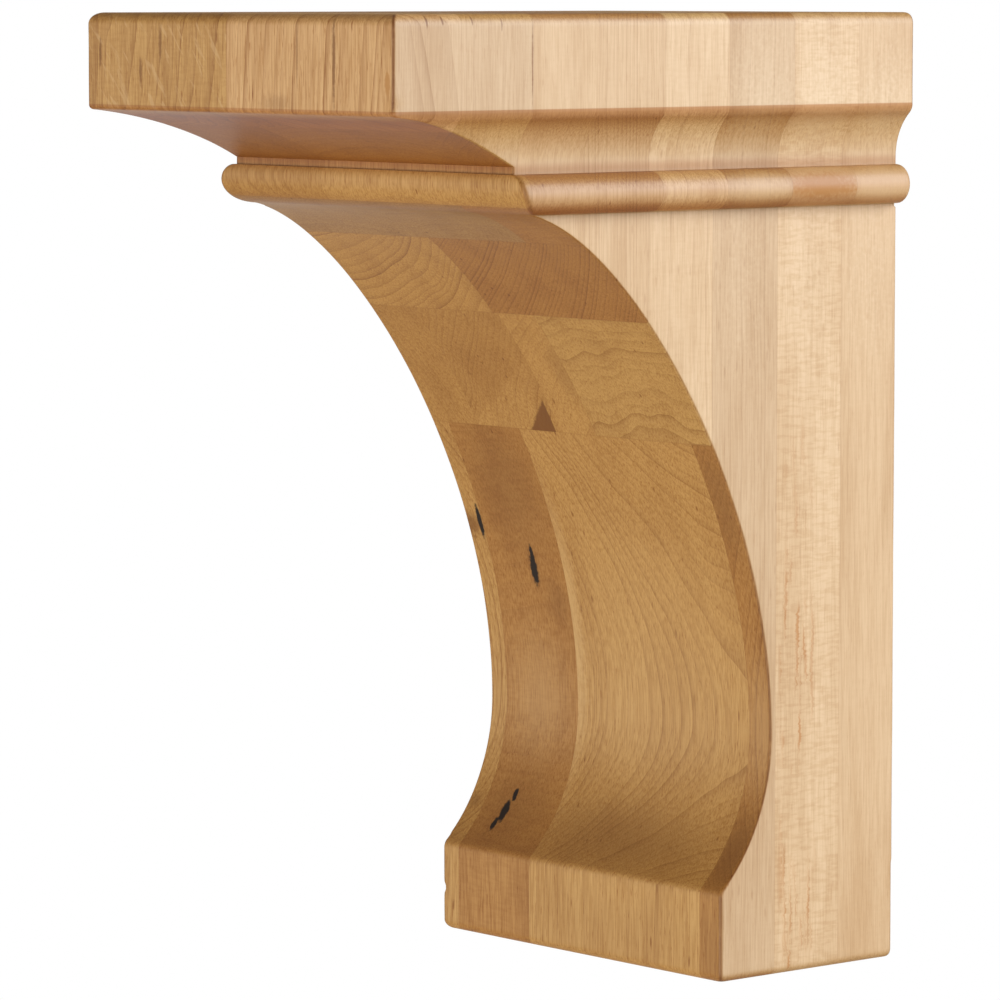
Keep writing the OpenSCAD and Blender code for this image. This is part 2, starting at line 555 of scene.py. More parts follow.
def finish_mesh(piece, dents, sharp_angle):
    """Close the two ends, press in the dents, turn the faces outwards and mark sharp edges."""
    shape = bmesh.new()
    shape.from_mesh(piece.data)
    rims = [edge for edge in shape.edges if edge.is_boundary]
    bmesh.ops.holes_fill(shape, edges=rims, sides=0)
    for face in shape.faces:
        face.smooth = len(face.verts) <= 4
    for centre, reach, direction, depth in dents:
        for vert in shape.verts:
            gap = math.dist([c / MM for c in vert.co], centre)
            if gap < reach:
                share = (1 - (gap / reach) ** 2) ** 2
                vert.co += share * depth * MM * as_vector(direction).normalized()
    bmesh.ops.recalc_face_normals(shape, faces=shape.faces)
    open_edges = sum(1 for edge in shape.edges if not edge.is_manifold)
    volume = shape.calc_volume(signed=True) / MM**3
    shape.to_mesh(piece.data)
    shape.free()
    piece.data.set_sharp_from_angle(angle=math.radians(sharp_angle))
    return open_edges, volume


# middle of the dent, how far it reaches, which way it is pressed and how deep
dents = (((-body_half, -block_d, 11.5 + low.z / MM), 2.0, (1, 0.8, 0), 0.55),
         ((cap_half, -cap_d, face_z + 1.2 + low.z / MM), 2.4, (-1, 0.6, 0.2), 0.5))
sharp_angle = 32
open_edges, volume = finish_mesh(corbel, dents, sharp_angle)
triangles = sum(len(face.vertices) - 2 for face in corbel.data.polygons)
print("open edges", open_edges, "| volume", round(volume), "mm3 |", triangles, "triangles")

# %% [markdown]
# ## The boards
#
# The corbel is sawn from a block of eight layers, glued back to front, and each layer is made of
# two to four narrow boards side by side. Nothing shows that better than the sweep, where every
# board is cut at a slant. The finish therefore works in the whole solid, as real wood does. It
# first asks which board a point lies in, and then draws that board's own growth rings.
#
# Each row of the table is one board: its right edge, its tone on the front and on the side, where
# the heart of its tree would lie (across and in depth, in millimetres), how that heart leans as it
# rises, how much its rings wave, the distance between rings, and how strongly its rings, flecks and
# curl show. A board has two tones because the cut changes its tone, and because the side tone is
# also paler with painted light and painted sheen from the key.
#
# Two shorter tables belong to the mouldings. Cut on a slant, wood shows its end grain, which drinks
# more finish and turns darker, and the same darkening is painted shade on the faces that turn up or
# down. The other table lays painted shade into the inside corners and under the cap.

# %% Tones and boards
TONES = {
    "cream": (0.630, 0.442, 0.264),
    "pale": (0.590, 0.402, 0.232),
    "blush": (0.550, 0.375, 0.220),
    "straw": (0.570, 0.360, 0.170),
    "honey": (0.540, 0.315, 0.112),
    "wheat": (0.548, 0.335, 0.126),
    "amber": (0.482, 0.268, 0.088),
    "toast": (0.438, 0.221, 0.065),
    "rose": (0.420, 0.250, 0.115),
    "sunny": (0.640, 0.395, 0.190),
}
SEAMS = (20.2, 43.3, 66.2, 88.5, 110.7, 132.6, 156.0)
# each board's side tone is partly the cut and partly painted light and painted sheen from the key
LAYERS = (
    ((-38, "pale", "pale", (-90, -40), (0.01, 0.0), 0.2, 2.2, 0.35, 0.1, 0.1),
     (-9, "straw", "straw", (-10, -70), (0.0, 0.01), 0.3, 3.0, 0.30, 0.1, 0.2),
     (27, "pale", "pale", (40, -60), (-0.01, 0.0), 0.2, 2.6, 0.35, 0.1, 0.1),
     (99, "straw", "pale", (120, -50), (0.0, 0.012), 0.2, 1.6, 0.40, 0.1, 0.1)),
    ((-30, "straw", "pale", (-70, 90), (0.0, 0.0), 0.2, 2.4, 0.35, 0.1, 0.3),
     (14, "pale", "pale", (0, 120), (0.02, 0.0), 0.3, 2.8, 0.35, 0.1, 0.2),
     (99, "straw", "cream", (90, 140), (0.0, 0.02), 0.2, 3.2, 0.20, 0.3, 0.65)),
    ((-50.3, "honey", "pale", (-86, 30), (0.1, 0.0), 0.3, 1.6, 1.00, 0.3, 0.2),
     (-20.2, "toast", "pale", (-35, -120), (0.0, 0.0), 0.3, 2.0, 0.25, 0.5, 0.55),
     (49, "honey", "pale", (60, 150), (0.03, 0.0), 0.25, 1.5, 0.72, 0.9, 0.1),
     (99, "toast", "blush", (-30, 160), (0.1, 0.05), 0.2, 1.3, 0.85, 1.0, 0.1)),
    ((-37.5, "amber", "pale", (-120, 30), (0.1, 0.0), 0.2, 2.0, 0.40, 0.4, 0.1),
     (-3, "amber", "pale", (-110, 190), (0.0, 0.0), 0.5, 1.5, 0.70, 0.8, 0.1),
     (11.5, "honey", "pale", (60, -60), (0.1, 0.0), 0.3, 2.2, 0.40, 0.3, 0.1),
     (99, "wheat", "cream", (36, -190), (0.05, 0.0), 0.65, 2.4, 0.70, 0.5, 0.2)),
    ((-4.8, "honey", "pale", (-62, 185), (0.0, 0.0), 0.2, 2.1, 1.00, 0.3, 0.1),
     (99, "toast", "pale", (-80, 260), (0.0, 0.0), 0.1, 0.95, 1.00, 1.0, 0.1)),
    ((-8, "rose", "pale", (-40, 20), (0.0, 0.0), 0.3, 2.2, 0.30, 0.2, 0.1),
     (35, "rose", "pale", (20, 10), (0.0, 0.0), 0.3, 2.0, 0.30, 0.2, 0.1),
     (99, "toast", "pale", (60, 0), (0.0, 0.0), 0.3, 1.6, 0.30, 0.2, 0.1)),
    ((-19, "amber", "pale", (-70, 70), (0.0, 0.0), 0.3, 2.4, 0.50, 0.7, 0.1),
     (43.6, "honey", "pale", (10, 60), (0.0, 0.0), 0.3, 2.8, 0.45, 0.4, 0.1),
     (99, "honey", "blush", (130, 20), (0.0, 0.0), 0.2, 2.0, 0.45, 0.3, 0.1)),
    ((-3.5, "honey", "pale", (-130, 205), (0.25, 0.0), 1.0, 3.6, 0.90, 0.5, 0.5),
     (99, "sunny", "blush", (200, 290), (0.12, 0.0), 0.3, 3.6, 1.00, 0.3, 0.1)),
)
Board = namedtuple("Board", "right_edge front side heart lean wave gap rings flecks curl")
boards = [Board(*row) for layer in LAYERS for row in layer]
WEDGE_BOARD, RUSTY_BOARD, PAINTED_GLINT_BOARD = 12, 6, 23

# how much darker the slanted cuts of each layer are on the two sides, from the back to the front,
# as end grain and as painted shade on the faces that turn up or down
END_GRAIN_AND_SHADE_SHARES = (0.68, 0.62, 0.92, 0.10, 0.50, 0.55, 0.60, 0.60)
# painted shade in inside corners and under the cap: height, how far the dark runs below and above,
# and how strong it is on the front and on the sides
PAINTED_CORNER_SHADE = (
    (face_z, 6.0, 0.3, 0.6, 0.85),
    (face_z - 3.0, 12.0, 2.0, 1.0, 0.0),
    (face_z - 15.2, 3.0, 2.5, 0.6, 0.55),
    (face_z - 14.0, 2.0, 11.0, 0.7, 0.0),
    (face_z - 26.1, 0.8, 3.5, 0.3, 0.85),
    (face_z - 21.0, 6.0, 6.0, 0.0, 0.40),
)
print(len(boards), "boards in", len(LAYERS), "layers")

# %% [markdown]
# ## Which board is this?
#
# A step is 1 past a seam and 0 before it, so adding up steps counts boards, and every point of the
# block gets the number of its own board. A colour ramp with hard stops then works as a look-up
# table from that number to a tone, or to three plain numbers packed into one colour.

# %% Number the boards and look their values up
SLOTS = 32
GLUE_HALF = 0.11


def board_numbers(across, depth):
    """The number of the board at each point, and a mask of the glue lines."""
    past = [1.0] + [depth.over(seam) for seam in SEAMS] + [0.0]
    glue = 0.0
    for seam in SEAMS:
        glue = depth.near(seam, GLUE_HALF) + glue
    number = 0.0
    for k, layer in enumerate(LAYERS):
        inside = past[k] - past[k + 1] if k else 1.0 - past[1]
        count = 0.0
        for right_edge, *_ in layer[:-1]:
            count = across.over(right_edge) + count
            glue = inside * across.near(right_edge, GLUE_HALF) + glue
        number = inside * count + number
        if k:
            number = past[k] * len(LAYERS[k - 1]) + number
    return number, glue.clamped()


def looked_up(t, number, colours):
    """The colour that stands at a board's number in a row of colours."""
    stops = [(i / SLOTS, colour) for i, colour in enumerate(colours)]
    return t.node("ShaderNodeValToRGB", {"stops": stops}, [(number + 0.5) / SLOTS])


def three_numbers(t, number, rows, low_end, high_end):
    """Three plain numbers for each board, carried as one colour."""
    span = high_end - low_end
    packed = [tuple((value - low_end) / span for value in row) for row in rows]
    parts = t.node("ShaderNodeSeparateColor", None, [looked_up(t, number, packed)])
    return [parts.out(name) * span + low_end for name in ("Red", "Green", "Blue")]


print("look-up tables hold up to", SLOTS, "boards")

# %% [markdown]
# ## Growth rings
#
# A tree is a bundle of cones, so a ring is the set of points at one distance from a slightly
# leaning line, the heart. The distance is divided by the ring gap, and what is left over after the
# whole rings runs from 0 to 1 across each ring. Raised to a power it stays pale and then darkens
# quickly, which is the thin brown line that maple shows. A cut along the tree gives straight lines,
# a slanting cut gives arches, and an end gives circles, without any of them being drawn.

# %% Helpers for the wood
# hearts and ring gaps share one look-up table, so the gaps are stored fifty times larger
HEART_RANGE, GAP_SCALE = (-256.0, 300.0), 50


def stretched(t, across, depth, up, along):
    """Coordinates squeezed along the grain, so that a pattern runs out into streaks."""
    return t.node("ShaderNodeCombineXYZ", None, [across, depth, up * along])


def noise(t, place, scale, detail=2.0, warp=0.0):
    return t.node("ShaderNodeTexNoise", {"noise_dimensions": "3D"},
                  {"Vector": place, "Scale": scale, "Detail": detail, "Distortion": warp})


def growth_rings(t, place, number, across, depth, up):
    """How dark the ring line is at each point, from 0 to 1."""
    rows = [(*board.heart, board.gap * GAP_SCALE) for board in boards]
    heart_x, heart_d, gap = three_numbers(t, number, rows, *HEART_RANGE)
    rows = [(*board.lean, board.wave) for board in boards]
    lean_x, lean_d, wave = three_numbers(t, number, rows, -1.0, 1.0)
    gap = gap / GAP_SCALE
    slow, quick = noise(t, place, 0.035, 1.0) - 0.5, noise(t, place, 0.11, 1.0) - 0.5
    wobble = (slow * 18 + quick * 4) * wave
    from_x = across - heart_x - lean_x * up
    from_d = depth - heart_d - lean_d * up
    distance = (from_x * from_x + from_d * from_d) ** 0.5 + wobble
    uneven = t.node("ShaderNodeTexNoise", {"noise_dimensions": "1D"},
                    {"W": distance + number * 37, "Scale": 0.11, "Detail": 1.0})
    phase = distance / gap + uneven * 2.4
    whole = t.node("ShaderNodeMath", {"operation": "FLOOR"}, [phase])
    chance = t.node("ShaderNodeTexWhiteNoise", {"noise_dimensions": "1D"}, {"W": whole})
    across_ring = phase - whole
    line = across_ring**4 * 0.75 + 0.25 * across_ring
    return line * (0.35 + 0.65 * chance * chance)


def tinted(t, colour, mask, tint):
    """The colour multiplied by a tint where the mask is 1."""
    return t.node("ShaderNodeMix", {"data_type": "RGBA", "blend_type": "MULTIPLY"},
                  {0: mask, 6: colour, 7: (*tint, 1.0)}, 2)


def painted(t, colour, mask, paint):
    """The colour replaced by another where the mask is 1."""
    return t.node("ShaderNodeMix", {"data_type": "RGBA", "blend_type": "MIX"},
                  {0: mask, 6: colour, 7: (*paint, 1.0)}, 2)


print("wood helpers ready")

# %% [markdown]
# ## Knots and marks
#
# Some marks are single events in the life of the tree, such as a black bark pocket or a mineral
# streak, some are broad changes of tone along a board, and some are painted shade and painted sheen
# along the sweep. Each is an ellipsoid placed in the solid, in millimetres. A little noise frays its
# edge, so that it doesn't look stamped.

# %% Marks: paint, board number, strength, edge, middle, half sizes
PAINTS = {
    "bark": (0.012, 0.005, 0.002),
    "stain": (0.180, 0.066, 0.012),
    "umber shade": (0.200, 0.085, 0.024),
    "pale streak and painted sheen": (0.620, 0.400, 0.185),
    "rust": (0.430, 0.205, 0.060),
    "painted key light": (0.700, 0.530, 0.345),
}
MARKS = (
    # painted shade low and high in the sweep and on the foot, painted sheen across the waist, and
    # some changes of tone along the boards
    ("umber shade", 8, 0.40, 0.10, (-35.0, 60.0, 124.0), (22.0, 24.0, 30.0)),
    ("umber shade", 8, 0.26, 0.10, (-37.0, 56.0, 36.0), (20.0, 18.0, 13.0)),
    ("umber shade", 8, 0.35, 0.10, (-25.0, 47.0, 93.0), (7.0, 8.0, 9.0)),
    ("pale streak and painted sheen", 8, 0.22, 0.10, (-36.0, 45.0, 66.0), (16.0, 9.0, 26.0)),
    ("umber shade", 9, 0.40, 0.10, (10.0, 55.0, 33.0), (46.0, 16.0, 14.0)),
    ("pale streak and painted sheen", 9, 0.55, 0.10, (-19.5, 50.0, 86.0), (4.6, 24.0, 56.0)),
    ("umber shade", 10, 0.45, 0.10, (53.0, 60.0, 126.0), (9.0, 20.0, 24.0)),
    ("umber shade", 10, 0.58, 0.10, (53.0, 55.0, 34.0), (9.0, 14.0, 16.0)),
    ("pale streak and painted sheen", 10, 0.25, 0.10, (54.0, 45.0, 66.0), (9.0, 9.0, 26.0)),
    ("pale streak and painted sheen", 9, 0.22, 0.10, (15.0, 47.0, 82.0), (48.0, 20.0, 62.0)),
    ("umber shade", 9, 0.12, 0.10, (10.0, 62.0, 8.0), (60.0, 8.0, 16.0)),
    ("umber shade", 10, 0.22, 0.10, (55.0, 62.0, 8.0), (10.0, 8.0, 16.0)),
    ("umber shade", 13, 0.26, 0.25, (10.5, 76.0, 159.0), (6.5, 16.0, 13.0)),
    # the cap: flecks and streaks in its front, small chips along its top and an open seam
    ("rust", 24, 0.90, 0.60, (61.2, 177.8, 237.0), (1.2, 3.0, 3.2)),
    ("stain", 24, 0.80, 0.30, (40.2, 177.8, 243.0), (0.8, 3.0, 16.0)),
    ("stain", 24, 0.45, 0.20, (25.5, 177.8, 246.0), (0.6, 3.0, 12.0)),
    ("stain", 24, 0.30, 0.20, (17.0, 177.8, 231.5), (8.0, 3.0, 3.0)),
    ("stain", 23, 0.85, 0.30, (-57.6, 177.8, 243.5), (0.7, 3.0, 5.0)),
    ("stain", 23, 0.75, 0.30, (-40.0, 177.8, 239.0), (0.8, 3.0, 4.5)),
    ("stain", 23, 0.70, 0.30, (-31.5, 177.8, 246.0), (0.9, 3.0, 6.0)),
    ("stain", 24, 0.85, 0.40, (63.5, 167.0, 252.4), (2.5, 0.45, 2.4)),
    ("stain", 24, 0.80, 0.40, (63.5, 162.0, 252.6), (2.5, 0.40, 1.7)),
    ("stain", 22, 0.75, 0.40, (63.5, 152.5, 252.6), (2.5, 0.40, 1.6)),
    ("stain", 22, 0.60, 0.40, (63.5, 143.0, 251.6), (2.5, 0.35, 2.2)),
    ("stain", 22, 0.70, 0.30, (63.5, 133.0, 242.0), (4.0, 0.32, 13.0)),
    # the right side: painted light high up at the back, darker warm mouldings from pooled finish and
    # painted shade, and a warmer foot with painted shade
    ("painted key light", 6, 0.95, 0.10, (64.0, 32.0, 190.0), (8.0, 18.0, 62.0)),
    ("painted key light", 3, 0.85, 0.10, (64.0, 10.0, 190.0), (8.0, 18.0, 62.0)),
    ("painted key light", 10, 0.55, 0.10, (64.0, 55.0, 195.0), (8.0, 20.0, 66.0)),
    ("rust", 6, 0.90, 0.45, (66.0, 32.0, 209.0), (8.0, 20.0, 7.5)),
    ("rust", 6, 0.35, 0.30, (66.0, 32.0, 222.0), (8.0, 20.0, 9.0)),
    ("rust", 3, 0.40, 0.30, (66.0, 10.0, 216.0), (8.0, 20.0, 14.0)),
    ("rust", 3, 0.20, 0.10, (64.0, 10.0, -5.0), (10.0, 24.0, 75.0)),
    # bark pockets and a mineral streak in the dark board and beside it
    ("stain", 8, 0.6, 0.20, (-32.7, 50.6, 102.0), (2.6, 6.0, 8.5)),
    ("bark", 8, 1.0, 0.70, (-32.7, 50.6, 101.0), (1.5, 6.0, 4.6)),
    ("bark", 8, 1.0, 0.75, (-32.3, 50.6, 105.0), (0.9, 6.0, 3.6)),
    ("bark", 8, 1.0, 0.70, (-39.2, 52.0, 38.4), (1.0, 8.0, 2.0)),
    ("bark", 8, 1.0, 0.70, (-40.6, 54.0, 33.8), (1.6, 8.0, 3.2)),
    ("bark", 8, 1.0, 0.70, (-42.2, 56.0, 30.4), (1.1, 8.0, 1.8)),
    ("stain", 7, 0.7, 0.30, (-55.5, 53.8, 112.5), (4.8, 8.0, 4.2)),
    ("bark", 7, 1.0, 0.70, (-51.4, 54.0, 113.5), (1.0, 6.0, 5.4)),
    ("stain", 7, 0.5, 0.30, (-54.5, 57.0, 35.5), (4.0, 8.0, 3.0)),
)
print(len(MARKS), "marks set by hand")


def mark(t, place, fray, edge, middle, halves):
    """A frayed ellipsoid, 1 inside and 0 outside, with a soft or a hard edge."""
    shift = t.node("ShaderNodeVectorMath", {"operation": "SUBTRACT"}, [place, middle])
    share = t.node("ShaderNodeVectorMath", {"operation": "DIVIDE"}, [shift, halves])
    length = t.node("ShaderNodeVectorMath", {"operation": "LENGTH"}, [share], "Value")
    return 1 - (length + fray).fade(edge, 1.1)


# %% [markdown]
# ## Where a point of the wood lies
#
# Every later step asks the same few questions about a point: where it lies in the block in
# millimetres, which board that is, and which way the surface faces there. They are answered once,
# from the object's own coordinates and normal, and kept together under one name.

# %% Wires for the place, the board and the facing
def wood_wires(t):
    """The place in the block in millimetres, its board, and the way the surface faces."""
    coords = t.node("ShaderNodeTexCoord")
    scaled = t.node("ShaderNodeVectorMath", {"operation": "SCALE"},
                    {0: coords.out("Object"), "Scale": 1 / MM})
    parts = t.node("ShaderNodeSeparateXYZ", None, [scaled])
    wood = SimpleNamespace(across=parts.out("X"), depth=parts.out("Y") * -1,
                           up=parts.out("Z") + corbel_h / 2)
    wood.place = t.node("ShaderNodeCombineXYZ", None, [wood.across, wood.depth, wood.up])
    wood.number, wood.glue = board_numbers(wood.across, wood.depth)
    facing = t.node("ShaderNodeSeparateXYZ", None, [coords.out("Normal")])
    x_part = facing.out("X") * facing.out("X")
    wood.sideways = x_part**3
    wood.on_side = x_part.over(0.02)
    wood.slanted = facing.out("Z").math("ABSOLUTE", facing.out("Z"))
    return wood


def on_board(wood, board):
    """1 on one board, 0 on the others."""
    return wood.number.near(board, 0.1)


def streaked(t, wood, offset, along):
    """Coordinates squeezed along the grain and moved aside a little more for each board."""
    return stretched(t, wood.across + wood.number * offset, wood.depth, wood.up, along)


print("wires for the wood ready")

# %% [markdown]
# ## The finish, in the order in which the wood got its colours
#
# The tree comes first: the board's own tone, its rings, its fibre and pores, and slow drifts of
# tone. Each is a tint, a colour that multiplies what is already there, laid on through a mask. A
# tint keeps what lies under it, as a stain does, where a paint would hide it.

# %% Tone, rings, fibre and drift
TINTS = {
    "ring": (0.52, 0.36, 0.20),
    "fibre": (0.74, 0.64, 0.50),
    "pore": (0.70, 0.54, 0.36),
    "drift": (0.80, 0.72, 0.62),
    "curl": (0.82, 0.73, 0.62),
    "rust": (0.80, 0.60, 0.42),
    "fleck": (0.52, 0.34, 0.18),
    # end grain, with painted shade on the faces that turn up or down
    "end grain and painted shade": (0.71, 0.57, 0.22),
    # painted shade in inside corners and under the cap
    "painted corner shade": (0.66, 0.42, 0.22),
    "glue": (0.60, 0.45, 0.32),
    "arris": (0.36, 0.22, 0.12),
}
# how strongly some of them are laid on: the glint is a painted highlight, and the front share of
# end grain carries painted shade too
SHARES = {"under the wedge": 0.75, "drift": 0.55, "curl": 0.7, "glint": 0.50, "pocket": 0.92,
          "front end grain and painted shade": 0.88, "glue": 0.22}


def by_facing(wood, front, side):
    """One strength on the front and another on the sides."""
    return front - (front - side) * wood.sideways


def tone_with_painted_side_light(t, wood):
    """Front and side tones, the side paler with painted light and sheen, and honey under the wedge.
    """
    front = looked_up(t, wood.number, [TONES[board.front] for board in boards])
    side = looked_up(t, wood.number, [TONES[board.side] for board in boards])
    colour = t.node("ShaderNodeMix", {"data_type": "RGBA"},
                    {0: wood.sideways, 6: front, 7: side}, 2)
    wedge_slope, wedge_top = 0.55, 164.4
    under_wedge = (wood.across * wedge_slope + wedge_top - wood.up).fade(-0.5, 1.5)
    under_wedge = under_wedge * on_board(wood, WEDGE_BOARD)
    return painted(t, colour, under_wedge * SHARES["under the wedge"], TONES["honey"])


def with_rings(t, wood, colour, ring_share):
    """Growth rings, weaker on the side and in the foot block. Gives back the rings too."""
    shifted = t.node("ShaderNodeCombineXYZ", None, [
        wood.across + wood.number * 41, wood.depth + wood.number * 17, wood.up * 0.30])
    rings = growth_rings(t, shifted, wood.number, wood.across, wood.depth, wood.up)
    above_block = 0.55 + 0.45 * wood.up.fade(19, 28)
    share = ring_share * by_facing(wood, 1.0, 0.5) * above_block
    return tinted(t, colour, (rings * share).clamped(), TINTS["ring"]), rings


def with_fibre(t, wood, colour):
    """Fine streaks, short pores and slow drifts of tone. Gives back the fibre too."""
    fibre = noise(t, streaked(t, wood, 11, 0.035), 2.4, 4.0)
    colour = tinted(t, colour, fibre.fade(0.38, 0.66) * by_facing(wood, 0.80, 0.35), TINTS["fibre"])
    pores = noise(t, streaked(t, wood, 7, 0.09), 2.6, 2.0).fade(0.60, 0.70)
    colour = tinted(t, colour, pores * by_facing(wood, 0.80, 0.25), TINTS["pore"])
    drift = noise(t, streaked(t, wood, 23, 0.15), 0.10, 2.0).fade(0.38, 0.75)
    return tinted(t, colour, drift * SHARES["drift"], TINTS["drift"]), fibre


print(len(TINTS), "tints ready")

# %% [markdown]
# ## Figure in single boards, and painted glints
#
# Some boards have a figure of their own. Curl is a ripple across the grain, strong in a few boards
# only. The cap's left board gets painted glints, pale dashes of painted highlight across its open
# rays, and the curly board at the back has rusty streaks in its lower half. Flecks are the dark
# dashes that maple shows everywhere, one to a cell of a stretched Voronoi pattern, kept only where
# chance says so.

# %% Curl, painted glints, rusty streaks and flecks
def with_curl(t, wood, colour, curl_share):
    """A ripple across the grain, in the boards that have it. Gives back the ripple too."""
    ripple = noise(t, stretched(t, wood.across, wood.depth, wood.up, 5.0), 0.22, 3.0, 0.3)
    curl = ripple.fade(0.40, 0.66) * curl_share * SHARES["curl"]
    return tinted(t, colour, curl, TINTS["curl"]), ripple


def with_painted_glints(t, wood, colour):
    """Painted glints: pale dashes of painted highlight leaning across the cap's left board's grain.
    """
    lean_cos, lean_sin, wide, long = 0.80, 0.60, 0.55, 0.11
    tilted = t.node("ShaderNodeCombineXYZ", None, [
        (wood.across * lean_cos + wood.up * lean_sin) * wide,
        wood.depth * 0.3,
        (wood.up * lean_cos - wood.across * lean_sin) * long])
    glints = noise(t, tilted, 1.0, 2.0, 0.6).fade(0.56, 0.68) * on_board(wood, PAINTED_GLINT_BOARD)
    return painted(t, colour, glints * SHARES["glint"], TONES["straw"])


def with_rust(t, wood, colour, ripple):
    """Rusty streaks down the middle of the curly board's side, fading out half way up."""
    streak_depth = 35.5
    wavy = stretched(t, wood.across, wood.depth + ripple * 2, wood.up, 0.09)
    streaks = noise(t, wavy, 0.60, 3.0).fade(0.54, 0.70) * (1 - wood.up.fade(90, 170))
    off_line = wood.depth.math("ABSOLUTE", wood.depth - streak_depth)
    streaks = streaks * (1 - off_line.fade(3.5, 8.0))
    return tinted(t, colour, streaks * on_board(wood, RUSTY_BOARD) * wood.sideways, TINTS["rust"])


def with_flecks(t, wood, colour, fleck_share):
    """Short dark dashes, one at most in each cell, and more of them in some boards."""
    cells = t.node("ShaderNodeTexVoronoi", {"voronoi_dimensions": "3D", "feature": "F1"},
                   {"Vector": stretched(t, wood.across, wood.depth, wood.up, 0.22), "Scale": 0.40})
    luck = t.node("ShaderNodeSeparateColor", None, [cells.out("Color")])
    most_cells = 0.24
    chosen = luck.out("Red").over(1.0 - fleck_share * most_cells)
    flecks = (1 - cells.out("Distance").fade(0.05, 0.19)) * chosen
    return tinted(t, colour, flecks * by_facing(wood, 0.85, 0.25), TINTS["fleck"])


print("figure ready")

# %% [markdown]
# ## Marks, what the workshop added, and painted shade
#
# The listed marks are painted on, because bark and stain hide the wood under them; so are the
# painted shade and painted sheen along the boards, which stay off the sides, where the boards are
# cut another way. After them come the workshop and painted shade: slanted cuts that drank more
# finish and carry painted shade where they face up or down, painted shade in the inside corners,
# glue lines, and arrises that hands and sanding have darkened, most of all on the cap and near the
# foot.

# %% Marks, end grain with painted shade, painted corner shade, glue lines and arrises
def with_marks(t, wood, colour):
    """The listed marks, each on its own board. Gives back the fray of their edges too."""
    fray = (noise(t, wood.place, 0.9, 2.0) - 0.5) * 0.7
    for paint, board, strength, edge, middle, halves in MARKS:
        spot = mark(t, wood.place, fray, edge, middle, halves) * on_board(wood, board)
        # painted shade and painted sheen stay off the sides
        if paint in ("umber shade", "pale streak and painted sheen"):
            spot = spot * (1 - wood.on_side)
        colour = painted(t, colour, spot * strength, PAINTS[paint])
    return colour, fray


def with_pocket(t, wood, colour, fray):
    """The small dark triangle at the wedge's foot, upright on its right and sloping on its left."""
    right, run, foot, rise = -4.8, 9.4, 142.6, 8.0
    slope = (right - wood.across) / run + (wood.up - foot) / rise + fray * 0.25
    inside = (1 - slope.fade(0.92, 1.08)) * (1 - wood.across.over(right))
    inside = inside * on_board(wood, WEDGE_BOARD)
    return painted(t, colour, inside * SHARES["pocket"], PAINTS["stain"])


def with_end_grain_and_painted_shade(t, wood, colour):
    """End grain and painted shade on slanted cuts, by layer on the sides and evenly on the front."""
    shares_by_board = [(share,) * 3 for share, layer in zip(END_GRAIN_AND_SHADE_SHARES, LAYERS) for _ in layer]
    side = looked_up(t, wood.number, shares_by_board)
    share = side * wood.on_side + SHARES["front end grain and painted shade"] * (1 - wood.on_side)
    return tinted(t, colour, wood.slanted * share, TINTS["end grain and painted shade"])


def with_painted_corner_shade_and_glue(t, wood, colour):
    """Painted shade in inside corners, each between two heights, and then the glue lines."""
    for height, below, above, on_front, on_flank in PAINTED_CORNER_SHADE:
        dark = (1 - (height - wood.up).fade(0.0, below)) * (1 - (wood.up - height).fade(0.0, above))
        dark = dark * (on_flank * wood.on_side + on_front * (1 - wood.on_side))
        colour = tinted(t, colour, dark, TINTS["painted corner shade"])
    return tinted(t, colour, wood.glue * SHARES["glue"], TINTS["glue"])


def with_worn_arrises(t, wood, colour):
    """Dark arrises, stronger towards the foot and on the cap, and none on the flat ends."""
    arris = t.node("ShaderNodeAttribute", {"attribute_name": "arris"}, output="Fac")
    worn = noise(t, wood.place, 0.25, 2.0).fade(0.20, 0.50)
    share = 0.30 + 0.40 * (1 - wood.up.fade(60, 120)) + 0.75 * wood.up.over(face_z)
    share = share * (1 - wood.slanted.fade(0.96, 0.99))
    return tinted(t, colour, (arris * worn * share).clamped(), TINTS["arris"])


print("workshop marks ready")

# %% [markdown]
# ## A thin satin coat
#
# The clear finish is thin and satin: a fairly rough surface with a faint coat over it. The fibre
# makes it a little rougher and the slanted cuts rougher still. The streaks stand up and the rings
# lie lower by a few hundredths of a millimetre, which is what catches the light on satin maple.

# %% The finish: glued maple under a satin coat
def glued_maple(material):
    """Lay the whole finish on a material, in the order of the cells above."""
    material.use_nodes = True
    material.node_tree.nodes.clear()
    t = Tree(material.node_tree)
    wood = wood_wires(t)
    ring_share, fleck_share, curl_share = three_numbers(
        t, wood.number, [(b.rings, b.flecks, b.curl) for b in boards], 0.0, 1.0)

    colour, rings = with_rings(t, wood, tone_with_painted_side_light(t, wood), ring_share)
    colour, fibre = with_fibre(t, wood, colour)
    colour, ripple = with_curl(t, wood, colour, curl_share)
    colour = with_painted_glints(t, wood, colour)
    colour = with_rust(t, wood, colour, ripple)
    colour = with_flecks(t, wood, colour, fleck_share)
    colour, fray = with_marks(t, wood, colour)
    colour = with_pocket(t, wood, colour, fray)
    colour = with_end_grain_and_painted_shade(t, wood, colour)
    colour = with_painted_corner_shade_and_glue(t, wood, colour)
    colour = with_worn_arrises(t, wood, colour)

    roughness = 0.42 + fibre * 0.10 + wood.slanted * 0.08
    grain = noise(t, streaked(t, wood, 11, 0.035), 3.5, 2.0) + rings * -0.4
    bump = t.node("ShaderNodeBump", None, {"Strength": 0.35, "Distance": 0.00008, "Height": grain})
    surface = t.node("ShaderNodeBsdfPrincipled", None, {
        "Base Color": colour, "Roughness": roughness, "Normal": bump,
        "Specular IOR Level": 0.30, "Coat Weight": 0.04, "Coat Roughness": 0.30})
    t.node("ShaderNodeOutputMaterial", None, {"Surface": surface})


glued_maple(maple)
print("maple finish:", len(maple.node_tree.nodes), "nodes")

